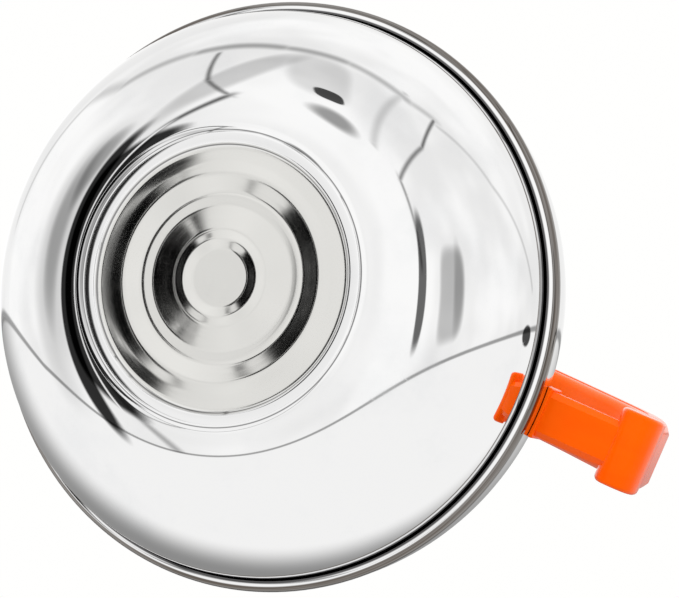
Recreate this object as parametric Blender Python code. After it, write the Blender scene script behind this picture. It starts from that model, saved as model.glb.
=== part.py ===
# Stovetop whistling kettle: a stamped steel body, a plastic handle over it and a sprung whistle on the spout.
# Metres, +Z up. The origin is on the body's axis in the plane that the base stands on.
# The spout points to +X and the handle's rear end to -X.

import math

import bmesh
import bpy
from mathutils import Matrix, Vector

MM = 0.001
GAP = 0.3 * MM  # left between pieces that touch
SHEET = 0.8 * MM  # body, spout and lid sheet
BODY_STEPS = 36
SMALL_STEPS = 20

# Lower bowl
DISC_R = 11.4 * MM  # flat centre of the stamped base
FOOT_INNER_R = 49.2 * MM
FOOT_OUTER_R = 53.2 * MM
BOWL_R = 108.2 * MM
FLANGE_R = 111.4 * MM
FLANGE_Z = 51.0 * MM
RINGS = (  # radius and height of each ridge and valley between the centre disc and the foot, in mm
    (11.4, 2.6),
    (15.5, 0.95),
    (18.6, 0.8),
    (26.8, 2.0),
    (31.5, 2.1),
    (37.2, 0.6),
    (38.6, 0.6),
    (46.6, 1.5),
    (48.3, 1.4),
)

# Upper dome
DOME_R = 112.1 * MM
DOME_Z = 58.0 * MM  # where the dome starts to curve in
DOME_HEIGHT = 66.0 * MM  # from there to the height that its curve would reach on the axis
DOME_POWER = 2.2  # 2 is an ellipse, and more is fuller
MOUTH_R = 44.8 * MM
NECK_DEPTH = 7.0 * MM

# Spout, along its own axis
SPOUT_TILT = math.radians(42)  # from upright
SPOUT_FOOT = Vector((95 * MM, 0, 96.4 * MM))
SPOUT_LENGTH = 60.6 * MM
SPOUT_TIP_R = 15.9 * MM
SPOUT_FLARE = 8.5 * MM
SPOUT_HOLE_R = 16.5 * MM

# Whistle lever, measured from the middle of the spout's tip
PIVOT_REACH = 44.0 * MM
PIVOT_RISE = 1.5 * MM
PIN_R = 1.9 * MM
HOLE_PLAY = 0.3 * MM

# Lid
LID_R = 50.0 * MM
LID_TOP_Z = 127.0 * MM
LID_DROP = 7.0 * MM
LID_FLAT_R = 14.0 * MM
SKIRT_R = 43.8 * MM

# Handle
GRIP_HALF_WIDTH = 14.5 * MM
GRIP_HALF_THICK = 8.25 * MM
STEM_HALF_WIDTH = 9.3 * MM
STEM_Z = (63.5 * MM, 77.5 * MM)
HANDLE_ROUTE = (  # middle of the arch from its rear end to its front end, x and z in mm
    (-145.0, 84.0),
    (-143.6, 100.0),
    (-141.2, 114.0),
    (-134.0, 127.5),
    (-119.0, 139.8),
    (-97.0, 155.0),
    (-62.0, 169.5),
    (-22.0, 177.5),
    (14.0, 178.0),
    (42.0, 173.0),
    (60.0, 165.5),
)

STEEL = ("polished_steel", (0.78, 0.78, 0.79, 1), 1.0, 0.08)
SATIN = ("satin_steel", (0.62, 0.62, 0.63, 1), 1.0, 0.3)
ORANGE = ("orange_plastic", (0.96, 0.1, 0.004, 1), 0.0, 0.22)
SILICONE = ("grey_silicone", (0.35, 0.35, 0.36, 1), 0.0, 0.6)


def clear_scene():
    for item in list(bpy.data.objects):
        bpy.data.objects.remove(item)


def material(kind):
    name, colour, metallic, roughness = kind
    found = bpy.data.materials.get(name)
    if found:
        return found
    made = bpy.data.materials.new(name)
    made.use_nodes = True
    shader = made.node_tree.nodes["Principled BSDF"]
    shader.inputs["Base Color"].default_value = colour
    shader.inputs["Metallic"].default_value = metallic
    shader.inputs["Roughness"].default_value = roughness
    made.diffuse_color = colour
    return made


def add_object(name, bm, kind=None):
    mesh = bpy.data.meshes.new(name)
    bm.to_mesh(mesh)
    bm.free()
    mesh.shade_smooth()
    mesh.set_sharp_from_angle(angle=math.radians(35))
    made = bpy.data.objects.new(name, mesh)
    bpy.context.scene.collection.objects.link(made)
    if kind:
        mesh.materials.append(material(kind))
    else:
        hide_helper(made)
    return made


def hide_helper(helper):
    helper.hide_render = True
    helper.display_type = "WIRE"


def combine(target, helper, operation, solver="EXACT"):
    """Adds a Boolean of a hidden helper to the target."""
    step = target.modifiers.new(operation.lower(), "BOOLEAN")
    step.operation = operation
    step.solver = solver
    step.object = helper


def turned(name, profile, kind=None, ring=False, steps=SMALL_STEPS):
    """Turns a profile of (radius, height) about Z. A ring's profile closes on itself, off the axis."""
    bm = bmesh.new()
    corners = [bm.verts.new((radius, 0, height)) for radius, height in profile]
    for first, second in zip(corners, corners[1:]):
        bm.edges.new((first, second))
    if ring:
        bm.edges.new((corners[-1], corners[0]))
    made = add_object(name, bm, kind)
    screw = made.modifiers.new("turn", "SCREW")
    screw.steps = steps
    screw.render_steps = steps
    screw.use_merge_vertices = True
    screw.merge_threshold = 0.00001
    screw.use_smooth_shade = True
    return made


def extruded(name, outline, half_width, kind=None, bevel=0.0):
    """Extrudes an outline of (x, z) to both sides of the XZ plane."""
    bm = bmesh.new()
    face = bm.faces.new([bm.verts.new((x, -half_width, z)) for x, z in outline])
    moved = bmesh.ops.extrude_face_region(bm, geom=[face])["geom"]
    bmesh.ops.translate(
        bm,
        verts=[item for item in moved if isinstance(item, bmesh.types.BMVert)],
        vec=(0, 2 * half_width, 0),
    )
    bmesh.ops.recalc_face_normals(bm, faces=bm.faces)
    if bevel:
        sides = [edge for edge in bm.edges if abs(edge.verts[0].co.y - edge.verts[1].co.y) < MM]
        bmesh.ops.bevel(
            bm, geom=sides, offset=bevel, segments=2, profile=0.5, affect="EDGES", clamp_overlap=True
        )
    return add_object(name, bm, kind)


def block(name, low, high, kind=None):
    """A box between two corners."""
    bm = bmesh.new()
    bmesh.ops.create_cube(bm, size=1)
    size = Vector(high) - Vector(low)
    bmesh.ops.scale(bm, vec=size, verts=bm.verts)
    bmesh.ops.translate(bm, vec=(Vector(high) + Vector(low)) / 2, verts=bm.verts)
    return add_object(name, bm, kind)


def aim(item, start, end):
    """Puts the item's origin at the start, with its Z towards the end."""
    item.location = start
    item.rotation_euler = (Vector(end) - Vector(start)).to_track_quat("Z", "Y").to_euler()


def rod(name, start, end, radius, kind=None, head=None):
    """A round rod between two points. head is the radius and height of a round head behind its start."""
    length = (Vector(end) - Vector(start)).length
    profile = [(0, length), (radius, length), (radius, 0), (0, 0)]
    if head:
        head_r, head_h = head
        profile[3:] = [(head_r, 0), (head_r, -0.5 * head_h), (0.75 * head_r, -head_h), (0, -head_h)]
    made = turned(name, profile, kind, steps=12)
    aim(made, start, end)
    return made


def drill(target, start, end, radius, mouth=None, solver="EXACT"):
    """Cuts a round hole from start to end. mouth is the radius and depth of a wider stretch at its start."""
    length = (Vector(end) - Vector(start)).length
    profile = [(0, length), (radius, length), (radius, 0), (0, 0)]
    if mouth:
        wide, depth = mouth
        profile[2:] = [(radius, depth), (wide, depth), (wide, 0), (0, 0)]
    cutter = turned(f"{target.name}_drill", profile, steps=12)
    aim(cutter, start, end)
    combine(target, cutter, "DIFFERENCE", solver)


def attach(child, parent):
    """Parents a piece and keeps its place in the world."""
    bpy.context.view_layer.update()
    world = child.matrix_world.copy()
    child.parent = parent
    child.matrix_parent_inverse = parent.matrix_world.inverted()
    child.matrix_world = world


def offset_line(points, distance):
    """Moves an open line of points sideways, to the left of its direction."""
    moved = []
    for index, point in enumerate(points):
        here = Vector(point)
        before = Vector(points[max(index - 1, 0)])
        after = Vector(points[min(index + 1, len(points) - 1)])
        into = (here - before).normalized() if index else (after - here).normalized()
        out = (after - here).normalized() if index < len(points) - 1 else into
        middle = (into + out).normalized()
        side = Vector((-middle.y, middle.x))
        moved.append(tuple(here + side * distance / max(middle.dot(into), 0.5)))
    return moved


def spline(points, pieces):
    """Points along a smooth curve through the given (x, z) points."""
    route = [Vector(point) for point in points]
    route = [2 * route[0] - route[1], *route, 2 * route[-1] - route[-2]]
    smooth = []
    for a, b, c, d in zip(route, route[1:], route[2:], route[3:]):
        for step in range(pieces):
            t = step / pieces
            smooth.append(
                0.5 * (2 * b + (c - a) * t + (2 * a - 5 * b + 4 * c - d) * t**2 + (3 * b - a - 3 * c + d) * t**3)
            )
    return [*smooth, route[-2]]


# Body


def bowl_line():
    """The bowl's outer surface from the axis to the edge of its flange."""
    base = [(0, RINGS[0][1] * MM)]
    base += [(radius * MM, height * MM) for radius, height in RINGS]
    base += [(FOOT_INNER_R, 0), (FOOT_OUTER_R, 0), (FOOT_OUTER_R + 0.9 * MM, 0.6 * MM)]
    start_r, start_z = base[-1]
    flank = []
    for step in range(1, 11):
        angle = math.radians(87) * step / 10
        radius = start_r + (BOWL_R - start_r) * math.sin(angle)
        flank.append((radius, start_z + (FLANGE_Z - start_z) * (1 - math.cos(angle))))
    corner = [(BOWL_R + 0.15 * MM, FLANGE_Z - 1.2 * MM), (BOWL_R + 0.9 * MM, FLANGE_Z - 0.2 * MM)]
    return base + flank + corner + [(FLANGE_R, FLANGE_Z)]


def make_lower_bowl():
    outer = bowl_line()
    inner = offset_line(outer, SHEET)
    inner[0] = (0, inner[0][1])
    return turned("lower_bowl", inner + outer[::-1], STEEL, steps=BODY_STEPS)


def dome_point(angle, extra=0.0):
    """A point of the dome's outer curve: 0 is at its widest, and a right angle is on the axis."""
    power = 2 / DOME_POWER
    radius = (DOME_R + extra) * math.cos(angle) ** power
    return (radius, DOME_Z + (DOME_HEIGHT + extra) * math.sin(angle) ** power)


def dome_height(radius):
    return DOME_Z + DOME_HEIGHT * (1 - (radius / DOME_R) ** DOME_POWER) ** (1 / DOME_POWER)


def make_upper_dome():
    """The dome's sheet runs from the mouth's neck down to the hem that is rolled round the bowl's flange."""
    mouth_z = dome_height(MOUTH_R + 2 * MM)
    neck = [
        (MOUTH_R, mouth_z - NECK_DEPTH),
        (MOUTH_R, mouth_z - 1.2 * MM),
        (MOUTH_R + 0.5 * MM, mouth_z - 0.3 * MM),
        (MOUTH_R + 2 * MM, mouth_z),
    ]
    top = math.acos(((MOUTH_R + 7 * MM) / DOME_R) ** (DOME_POWER / 2))
    curve = [dome_point(top * (1 - step / 10)) for step in range(11)]
    hem = [
        (DOME_R, 55.5 * MM),
        (DOME_R + 0.6 * MM, 53.6 * MM),
        (DOME_R + 0.9 * MM, 51.6 * MM),
        (DOME_R + 0.5 * MM, 50.0 * MM),
        (DOME_R - 0.6 * MM, 49.2 * MM),
        (DOME_R - 2.5 * MM, 49.0 * MM),
    ]
    outer = neck + curve + hem
    inner = offset_line(outer, -SHEET)
    dome = turned("upper_dome", outer + inner[::-1], STEEL, ring=True, steps=BODY_STEPS)
    drill(dome, spout_point(0, -24 * MM), spout_point(0, 14 * MM), SPOUT_HOLE_R)
    for start, end in rivet_lines():
        drill(dome, start + Vector((8 * MM, 0, 0)), end, PIN_R + HOLE_PLAY)
    return dome


def make_keepout():
    """The dome's outer shape grown by the gap: it trims what is welded or screwed onto the dome."""
    curve = [dome_point(math.radians(90) * (1 - step / 24), GAP) for step in range(25)]
    widest = curve[-1][0]
    return turned("dome_keepout", curve + [(widest, 40 * MM), (0, 40 * MM)], steps=BODY_STEPS)


# Spout and whistle


def spout_turn():
    return Matrix.Rotation(SPOUT_TILT, 3, "Y")


def spout_point(across, along):
    """A world point from its distance across and along the spout's axis."""
    return SPOUT_FOOT + spout_turn() @ Vector((across, 0, along))


def make_spout(keepout):
    tip = SPOUT_LENGTH
    bead = [(14.9, 0.1), (15.6, 0.3), (16.8, -0.2), (17.3, -1.4), (16.8, -2.6)]
    rim = [(radius * MM, tip + height * MM) for radius, height in bead]
    neck = tip - 3.4 * MM
    foot = -27 * MM
    wall = []
    for step in range(7):
        along = neck + (foot - neck) * step / 6
        share = (neck - along) / (neck - foot)
        wall.append((SPOUT_TIP_R + SPOUT_FLARE * share**1.5, along))
    inside = [(radius - SHEET, along) for radius, along in wall[::-1]]
    spout = turned("spout", rim + wall + inside, STEEL, ring=True, steps=28)
    spout.location = SPOUT_FOOT
    spout.rotation_euler = (0, SPOUT_TILT, 0)
    combine(spout, keepout, "DIFFERENCE")
    return spout


def tip_piece(name, profile, kind, ring=True, steps=28):
    """A turned piece round the spout's axis, with its height measured from the spout's tip, in mm."""
    made = turned(name, [(r * MM, z * MM) for r, z in profile], kind, ring=ring, steps=steps)
    made.location = spout_point(0, SPOUT_LENGTH)
    made.rotation_euler = (0, SPOUT_TILT, 0)
    return made


def tip_point(across, side, along):
    return spout_point(0, SPOUT_LENGTH) + spout_turn() @ Vector((across, side, along))


def pivot_point(side=0.0):
    return tip_point(-PIVOT_REACH, side, PIVOT_RISE)


def make_whistle_lever():
    """The ring round the cap, the arm to the pivot and the thumb pad behind it, as one moulding."""
    ring = [(11, 5.6), (21.5, 5.6), (23, 4.2), (23, -2.2), (19.8, -2.2), (19.8, 3.3), (11, 3.3)]
    lever = tip_piece("whistle_lever", ring, ORANGE)
    arms = (
        ("arm", (-38, -6, 0), (-21, 6, 5.2)),
        ("waist", (-58, -3.6, 0), (-36, 3.6, 4.4)),
        ("pad", (-86, -10, 0.6), (-57, 10, 5)),
    )
    for name, low, high in arms:
        arm = block(f"lever_{name}", Vector(low) * MM, Vector(high) * MM)
        arm.location = spout_point(0, SPOUT_LENGTH)
        arm.rotation_euler = (0, SPOUT_TILT, 0)
        combine(lever, arm, "UNION", "MANIFOLD")
    boss = rod("lever_boss", pivot_point(-4 * MM), pivot_point(4 * MM), 5.2 * MM)
    combine(lever, boss, "UNION", "MANIFOLD")
    drill(lever, pivot_point(-9 * MM), pivot_point(9 * MM), PIN_R + HOLE_PLAY, solver="MANIFOLD")
    for side in (-1, 1):
        spot = 12.8 * MM * side
        drill(lever, tip_point(0, spot, -1 * MM), tip_point(0, spot, 8 * MM), 1.5 * MM, solver="MANIFOLD")
    return lever


def make_whistle_cap():
    """The steel cup over the spout's rim, with a hole in its middle for the steam."""
    profile = [(6, 3), (18.9, 3), (19.5, 2.4), (19.5, -3.2), (18.7, -3.2), (18.7, 2.2), (6, 2.2)]
    cap = tip_piece("whistle_cap", profile, STEEL)
    for side in (-1, 1):
        spot = 12.8 * MM * side
        drill(cap, tip_point(0, spot, -1 * MM), tip_point(0, spot, 8 * MM), 1.5 * MM, solver="MANIFOLD")
    return cap


def make_whistle_pieces():
    """The gasket, the cup and the inner plate of the whistle, and the rivets that hold the cap in its ring."""
    pieces = [
        tip_piece("whistle_gasket", [(15.2, 1.9), (18.3, 1.9), (18.3, 0.6), (15.2, 0.6)], SILICONE),
        tip_piece(
            "whistle_cup",
            [(1.7, 9), (8.6, 9), (9.4, 8.2), (9.4, 3.3), (8.6, 3.3), (8.6, 8.2), (1.7, 8.2)],
            SATIN,
        ),
        tip_piece("whistle_plate", [(1.7, 4.2), (8.2, 4.2), (8.2, 3.4), (1.7, 3.4)], SATIN),
    ]
    for side, name in ((-1, "right"), (1, "left")):
        spot = 12.8 * MM * side
        top = tip_point(0, spot, 5.9 * MM)
        low = tip_point(0, spot, 1.2 * MM)
        pieces.append(rod(f"cap_rivet_{name}", top, low, 1.2 * MM, SATIN, head=(2.2 * MM, 1.0 * MM)))
    return pieces


def make_whistle():
    hinge = bpy.data.objects.new("whistle_hinge", None)
    hinge.location = pivot_point()
    bpy.context.scene.collection.objects.link(hinge)
    for piece in (make_whistle_lever(), make_whistle_cap(), *make_whistle_pieces()):
        attach(piece, hinge)


def make_pivot():
    """The pin that the lever turns on, and the spring that closes it."""
    ends = (pivot_point(-13.6 * MM), pivot_point(13.6 * MM))
    rod("lever_pin", *ends, PIN_R, SATIN, head=(3.4 * MM, 1.4 * MM))
    curve = bpy.data.curves.new("lever_spring", "CURVE")
    curve.dimensions = "3D"
    curve.bevel_depth = 0.35 * MM
    curve.bevel_resolution = 1
    curve.use_fill_caps = True
    line = curve.splines.new("POLY")
    turns, per_turn, radius, pitch = 2.5, 14, 3.5 * MM, 0.78 * MM
    count = int(turns * per_turn)
    line.points.add(count)
    for index, point in enumerate(line.points):
        angle = 2 * math.pi * index / per_turn
        side = 4.7 * MM + pitch * index / per_turn
        place = pivot_point(side) + Vector((radius * math.cos(angle), 0, radius * math.sin(angle)))
        point.co = (*place, 1)
    spring = bpy.data.objects.new("lever_spring", curve)
    curve.materials.append(material(SATIN))
    bpy.context.scene.collection.objects.link(spring)


# Lid


def lid_line():
    """The lid's outer surface from the axis to its rim."""
    curve = []
    for step in range(6):
        share = step / 5
        radius = LID_FLAT_R + (LID_R - LID_FLAT_R) * share
        curve.append((radius, LID_TOP_Z - LID_DROP * share**1.7))
    return [(0, LID_TOP_Z), *curve, (LID_R + 0.7 * MM, LID_TOP_Z - LID_DROP - 0.6 * MM)]


def make_lid():
    lift = bpy.data.objects.new("lid_lift", None)
    lift.location = (0, 0, LID_TOP_Z)
    bpy.context.scene.collection.objects.link(lift)
    outer = lid_line()
    inner = offset_line(outer, -SHEET)
    inner[0] = (0, inner[0][1])
    shell = turned("lid_shell", outer + inner[::-1], STEEL, steps=32)
    drill(shell, (0, 0, 120 * MM), (0, 0, 130 * MM), PIN_R + HOLE_PLAY)
    skirt = turned(
        "lid_skirt",
        [
            (SKIRT_R - 5 * MM, 121.0 * MM),
            (SKIRT_R - 0.8 * MM, 119.8 * MM),
            (SKIRT_R, 119.0 * MM),
            (SKIRT_R, 112.0 * MM),
            (SKIRT_R - SHEET, 112.0 * MM),
            (SKIRT_R - SHEET, 118.7 * MM),
            (SKIRT_R - 1.4 * MM, 119.1 * MM),
            (SKIRT_R - 5 * MM, 120.2 * MM),
        ],
        STEEL,
        ring=True,
        steps=32,
    )
    for piece in (shell, skirt, *make_knob()):
        attach(piece, lift)


def make_knob():
    base = LID_TOP_Z + 1.6 * MM
    outline = [
        (0, 19.6),
        (9, 19.2),
        (14, 17.6),
        (16.6, 14.6),
        (17, 12.4),
        (15.6, 10.4),
        (10.5, 8),
        (8.4, 5),
        (9, 2),
        (11.5, 0),
        (0, 0),
    ]
    knob = turned("lid_knob", [(r * MM, base + z * MM) for r, z in outline], ORANGE, steps=24)
    drill(knob, (0, 0, base - 2 * MM), (0, 0, base + 12 * MM), PIN_R + HOLE_PLAY)
    washer_low, washer_high = LID_TOP_Z + GAP, LID_TOP_Z + 1.3 * MM
    washer = turned(
        "knob_washer",
        [(2.4 * MM, washer_high), (13 * MM, washer_high), (13 * MM, washer_low), (2.4 * MM, washer_low)],
        SATIN,
        ring=True,
    )
    seat = LID_TOP_Z - SHEET - GAP
    screw = rod("knob_screw", (0, 0, seat), (0, 0, base + 11 * MM), PIN_R, SATIN, head=(4.4 * MM, 2.6 * MM))
    return knob, washer, screw


# Handle


def handle_frames():
    """Points along the arch's middle line, each with its direction and its outward normal, in the XZ plane."""
    points = spline([(x * MM, z * MM) for x, z in HANDLE_ROUTE], 3)
    frames = []
    for index, point in enumerate(points):
        before = points[max(index - 1, 0)]
        after = points[min(index + 1, len(points) - 1)]
        along = (after - before).normalized()
        frames.append((point, along, Vector((-along.y, along.x))))
    return frames


def swept(name, section, kind, trim=1):
    """Sweeps a section of (side, outward) corners along the arch, leaving out the given frames at its front."""
    bm = bmesh.new()
    loops = []
    for point, _, normal in handle_frames()[: None if trim == 0 else -trim]:
        places = [point + normal * outward for _, outward in section]
        loops.append(
            [bm.verts.new((place.x, side, place.y)) for place, (side, _) in zip(places, section)]
        )
    for first, second in zip(loops, loops[1:]):
        for index in range(len(section)):
            after = (index + 1) % len(section)
            bm.faces.new((first[index], first[after], second[after], second[index]))
    bm.faces.new(loops[0][::-1])
    bm.faces.new(loops[-1])
    bmesh.ops.recalc_face_normals(bm, faces=bm.faces)
    return add_object(name, bm, kind)


def make_arch():
    """The upper shell of the grip and the liner under it."""
    half, thick = GRIP_HALF_WIDTH, GRIP_HALF_THICK
    split = -2.0 * MM
    right = [
        (half, split + GAP / 2),
        (half, 3.6 * MM),
        (half - 1.4 * MM, 6.4 * MM),
        (half - 4.6 * MM, thick),
    ]
    shell = swept("handle_arch", right + [(-side, out) for side, out in right[::-1]], ORANGE, trim=0)
    right = [
        (half - 4 * MM, -thick),
        (half - 0.9 * MM, -5.4 * MM),
        (half - 0.4 * MM, split - GAP / 2),
    ]
    liner = swept("handle_liner", right + [(-side, out) for side, out in right[::-1]], ORANGE, trim=0)
    frames = handle_frames()
    for index, name in ((13, "rear"), (26, "front")):
        point, _, normal = frames[index]
        up = Vector((normal.x, 0, normal.y))
        middle = Vector((point.x, 0, point.y))
        seat = middle - up * 5.2 * MM
        drill(liner, middle - up * 12 * MM, middle, 1.7 * MM, mouth=(3.6 * MM, 6.8 * MM))
        drill(shell, middle - up * 6 * MM, middle + up * 4 * MM, 1.7 * MM)
        rod(
            f"liner_screw_{name}", seat - up * GAP, middle + up * 3 * MM, 1.4 * MM, SATIN, (3 * MM, 1.8 * MM)
        )
    return shell, liner


def rear_outline():
    """The rear end of the handle from the side, below the arch."""
    point, along, normal = handle_frames()[0]
    top = point - along * GAP
    rear = top + normal * GRIP_HALF_THICK
    front = top - normal * GRIP_HALF_THICK
    low = [
        (-135.2, 78.0),
        (-134.4, 70.0),
        (-135.2, 65.0),
        (-137.6, 62.6),
        (-149.6, 62.4),
        (-153.6, 64.0),
        (-155.4, 68.0),
        (-155.0, 75.0),
    ]
    return [(front.x, front.y), *[(x * MM, z * MM) for x, z in low], (rear.x, rear.y)]


def rivet_lines():
    """Start and end of the two rivets that come out through the dome into the stem."""
    z = sum(STEM_Z) / 2
    lines = []
    for side in (-5 * MM, 5 * MM):
        lines.append((Vector((-108.2 * MM, side, z)), Vector((-124 * MM, side, z))))
    return lines


def dowel_lines():
    lines = []
    for side in (-7 * MM, 7 * MM):
        lines.append((Vector((-145.4 * MM, side, 74 * MM)), Vector((-143.9 * MM, side, 96 * MM))))
    return lines


def make_rear(keepout, arch):
    """The stem on the dome's rear and the wide end behind it."""
    rear = extruded("handle_rear", rear_outline(), GRIP_HALF_WIDTH, ORANGE, bevel=2.4 * MM)
    low, high = STEM_Z
    section = [
        (STEM_HALF_WIDTH - 2.6 * MM, low),
        (STEM_HALF_WIDTH, low + 3.2 * MM),
        (STEM_HALF_WIDTH, high - 2 * MM),
        (STEM_HALF_WIDTH - 2 * MM, high),
    ]
    stem = extruded("rear_stem", section + [(-y, z) for y, z in section[::-1]], 19 * MM)
    stem.rotation_euler = (0, 0, math.radians(90))
    stem.location = (-119 * MM, 0, 0)
    foot = block("rear_foot", (-114 * MM, -11 * MM, low - 1.5 * MM), (-100 * MM, 11 * MM, high + 1.5 * MM))
    combine(rear, stem, "UNION")
    combine(rear, foot, "UNION")
    combine(rear, keepout, "DIFFERENCE")
    for (start, end), name in zip(rivet_lines(), ("right", "left")):
        drill(rear, start + Vector((6 * MM, 0, 0)), end - Vector((MM, 0, 0)), PIN_R + HOLE_PLAY)
        rod(f"rear_rivet_{name}", start, end, PIN_R, SATIN, head=(3.6 * MM, 1.6 * MM))
    for (start, end), name in zip(dowel_lines(), ("right", "left")):
        reach = (end - start).normalized() * 0.5 * MM
        drill(rear, start - reach, end, PIN_R + HOLE_PLAY)
        drill(arch, start, end + reach, PIN_R + HOLE_PLAY)
        rod(f"handle_dowel_{name}", start, end, PIN_R, SATIN)


def front_outline():
    """The front of the handle from the side: the block that carries the lever's pivot."""
    point, along, normal = handle_frames()[-1]
    start = point + along * GAP
    low = start - normal * GRIP_HALF_THICK
    top = start + normal * GRIP_HALF_THICK
    pivot = pivot_point()
    nose = []
    for degrees in (70, 35, 0, -35, -70):
        angle = math.radians(degrees)
        nose.append((pivot.x + 6.6 * MM * math.cos(angle), pivot.z + 6.6 * MM * math.sin(angle)))
    under = [(97 * MM, 158 * MM), (86 * MM, 148 * MM), (62 * MM, 146 * MM)]
    return [(top.x, top.y), (84 * MM, 168.5 * MM), (94 * MM, 174 * MM), *nose, *under, (low.x, low.y)]


def make_front(keepout):
    """The block at the front of the arch, its leg, the bracket on the dome and the two screws through it."""
    front = extruded("handle_front", front_outline(), 13 * MM, ORANGE, bevel=1.6 * MM)
    leg_outline = [(60, 150), (86, 150), (80.5, 134), (77, 119), (59, 119), (58, 134)]
    leg = extruded("front_leg", [(x * MM, z * MM) for x, z in leg_outline], 8.2 * MM)
    combine(front, leg, "UNION")
    slot = block("lever_slot", (-60 * MM, -7.3 * MM, -9 * MM), (-34 * MM, 7.3 * MM, 20 * MM))
    slot.location = spout_point(0, SPOUT_LENGTH)
    slot.rotation_euler = (0, SPOUT_TILT, 0)
    combine(front, slot, "DIFFERENCE")
    drill(front, pivot_point(-16 * MM), pivot_point(16 * MM), PIN_R + HOLE_PLAY)
    bracket = block("front_bracket", (59 * MM, -10.4 * MM, 106 * MM), (77 * MM, 10.4 * MM, 131 * MM), SATIN)
    inside = block("bracket_inside", (50 * MM, -8.6 * MM, 118.7 * MM), (90 * MM, 8.6 * MM, 140 * MM))
    under = block("bracket_under", (50 * MM, -8.6 * MM, 90 * MM), (90 * MM, 8.6 * MM, 117.2 * MM))
    combine(bracket, inside, "DIFFERENCE")
    combine(bracket, under, "DIFFERENCE")
    combine(bracket, keepout, "DIFFERENCE")
    for side, name in ((-1, "right"), (1, "left")):
        start = Vector((68 * MM, side * 10.7 * MM, 125.5 * MM))
        end = Vector((68 * MM, side * 3 * MM, 125.5 * MM))
        outside = start + Vector((0, side * 2 * MM, 0))
        drill(bracket, outside, end, PIN_R + HOLE_PLAY)
        drill(front, outside, end - Vector((0, side * 0.5 * MM, 0)), PIN_R + HOLE_PLAY)
        rod(f"front_screw_{name}", start, end, PIN_R, SATIN, head=(4.2 * MM, 2.0 * MM))


def make_handle(keepout):
    arch, _ = make_arch()
    make_rear(keepout, arch)
    make_front(keepout)


def main():
    clear_scene()
    make_lower_bowl()
    make_upper_dome()
    keepout = make_keepout()
    make_spout(keepout)
    make_whistle()
    make_pivot()
    make_lid()
    make_handle(keepout)


main()
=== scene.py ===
import math

import bpy
from mathutils import Euler, Matrix, Vector


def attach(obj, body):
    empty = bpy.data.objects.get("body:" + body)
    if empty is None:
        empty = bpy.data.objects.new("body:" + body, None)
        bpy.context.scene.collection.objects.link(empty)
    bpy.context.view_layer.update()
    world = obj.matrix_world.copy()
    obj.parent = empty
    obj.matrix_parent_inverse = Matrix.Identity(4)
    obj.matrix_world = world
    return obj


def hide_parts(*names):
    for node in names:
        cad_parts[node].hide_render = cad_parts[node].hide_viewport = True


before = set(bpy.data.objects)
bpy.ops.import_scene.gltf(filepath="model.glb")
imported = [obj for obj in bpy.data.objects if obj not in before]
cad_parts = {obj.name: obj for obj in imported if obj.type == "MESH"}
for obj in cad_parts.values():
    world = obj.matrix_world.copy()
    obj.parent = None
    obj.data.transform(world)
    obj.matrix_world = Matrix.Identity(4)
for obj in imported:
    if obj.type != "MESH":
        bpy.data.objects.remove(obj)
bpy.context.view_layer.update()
mm = 0.001
fullTurn = 2 * math.pi


# lines that the pieces are made from, in mm


def inMetres(points):
    return [(first * mm, second * mm) for first, second in points]


def easeLine(points, reach, pieces=4, closed=False):
    # each corner is replaced by a short curve that starts and ends this far from it
    line = [Vector(point) for point in points]
    count = len(line)
    eased = []
    for index, corner in enumerate(line):
        if not closed and index in (0, count - 1):
            eased.append(corner)
            continue
        before = line[index - 1]
        after = line[(index + 1) % count]
        back = min(reach, 0.48 * (before - corner).length)
        ahead = min(reach, 0.48 * (after - corner).length)
        start = corner + (before - corner).normalized() * back
        end = corner + (after - corner).normalized() * ahead
        for step in range(pieces + 1):
            t = step / pieces
            eased.append((1 - t) ** 2 * start + 2 * t * (1 - t) * corner + t * t * end)
    return [tuple(point) for point in eased]


def shiftLine(points, distance):
    # the line moved sideways, to the left of its direction
    moved = []
    line = [Vector(point) for point in points]
    for index, here in enumerate(line):
        before = line[max(index - 1, 0)]
        after = line[min(index + 1, len(line) - 1)]
        into = (here - before).normalized() if index else (after - here).normalized()
        out = (after - here).normalized() if index < len(line) - 1 else into
        middle = (into + out).normalized()
        side = Vector((-middle.y, middle.x))
        moved.append(tuple(here + side * distance / max(middle.dot(into), 0.5)))
    return moved


def smoothLine(points, pieces):
    # a smooth curve through all the points
    route = [Vector(point) for point in points]
    route = [2 * route[0] - route[1], *route, 2 * route[-1] - route[-2]]
    smooth = []
    for a, b, c, d in zip(route, route[1:], route[2:], route[3:]):
        for step in range(pieces):
            t = step / pieces
            bend = (2 * a - 5 * b + 4 * c - d) * t**2 + (3 * b - a - 3 * c + d) * t**3
            smooth.append(tuple(0.5 * (2 * b + (c - a) * t + bend)))
    return [*smooth, tuple(route[-2])]


# modelling steps


def clearSelection():
    if bpy.context.mode != "OBJECT":
        bpy.ops.object.mode_set(mode="OBJECT")
    bpy.ops.object.select_all(action="DESELECT")


def selectOnly(piece):
    clearSelection()
    piece.select_set(True)
    bpy.context.view_layer.objects.active = piece


def drawLine(name, places):
    # a small plane is merged to one point, and the line is drawn out of it corner by corner
    clearSelection()
    bpy.ops.mesh.primitive_plane_add(size=mm)
    piece = bpy.context.object
    piece.name = name
    piece.data.name = name
    bpy.ops.object.mode_set(mode="EDIT")
    bpy.ops.mesh.select_mode(type="VERT")
    bpy.ops.mesh.select_all(action="SELECT")
    bpy.ops.mesh.merge(type="CENTER")
    bpy.ops.transform.translate(value=Vector(places[0]))
    for before, after in zip(places, places[1:]):
        step = Vector(after) - Vector(before)
        bpy.ops.mesh.extrude_region_move(TRANSFORM_OT_translate={"value": step})
    return piece


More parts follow.
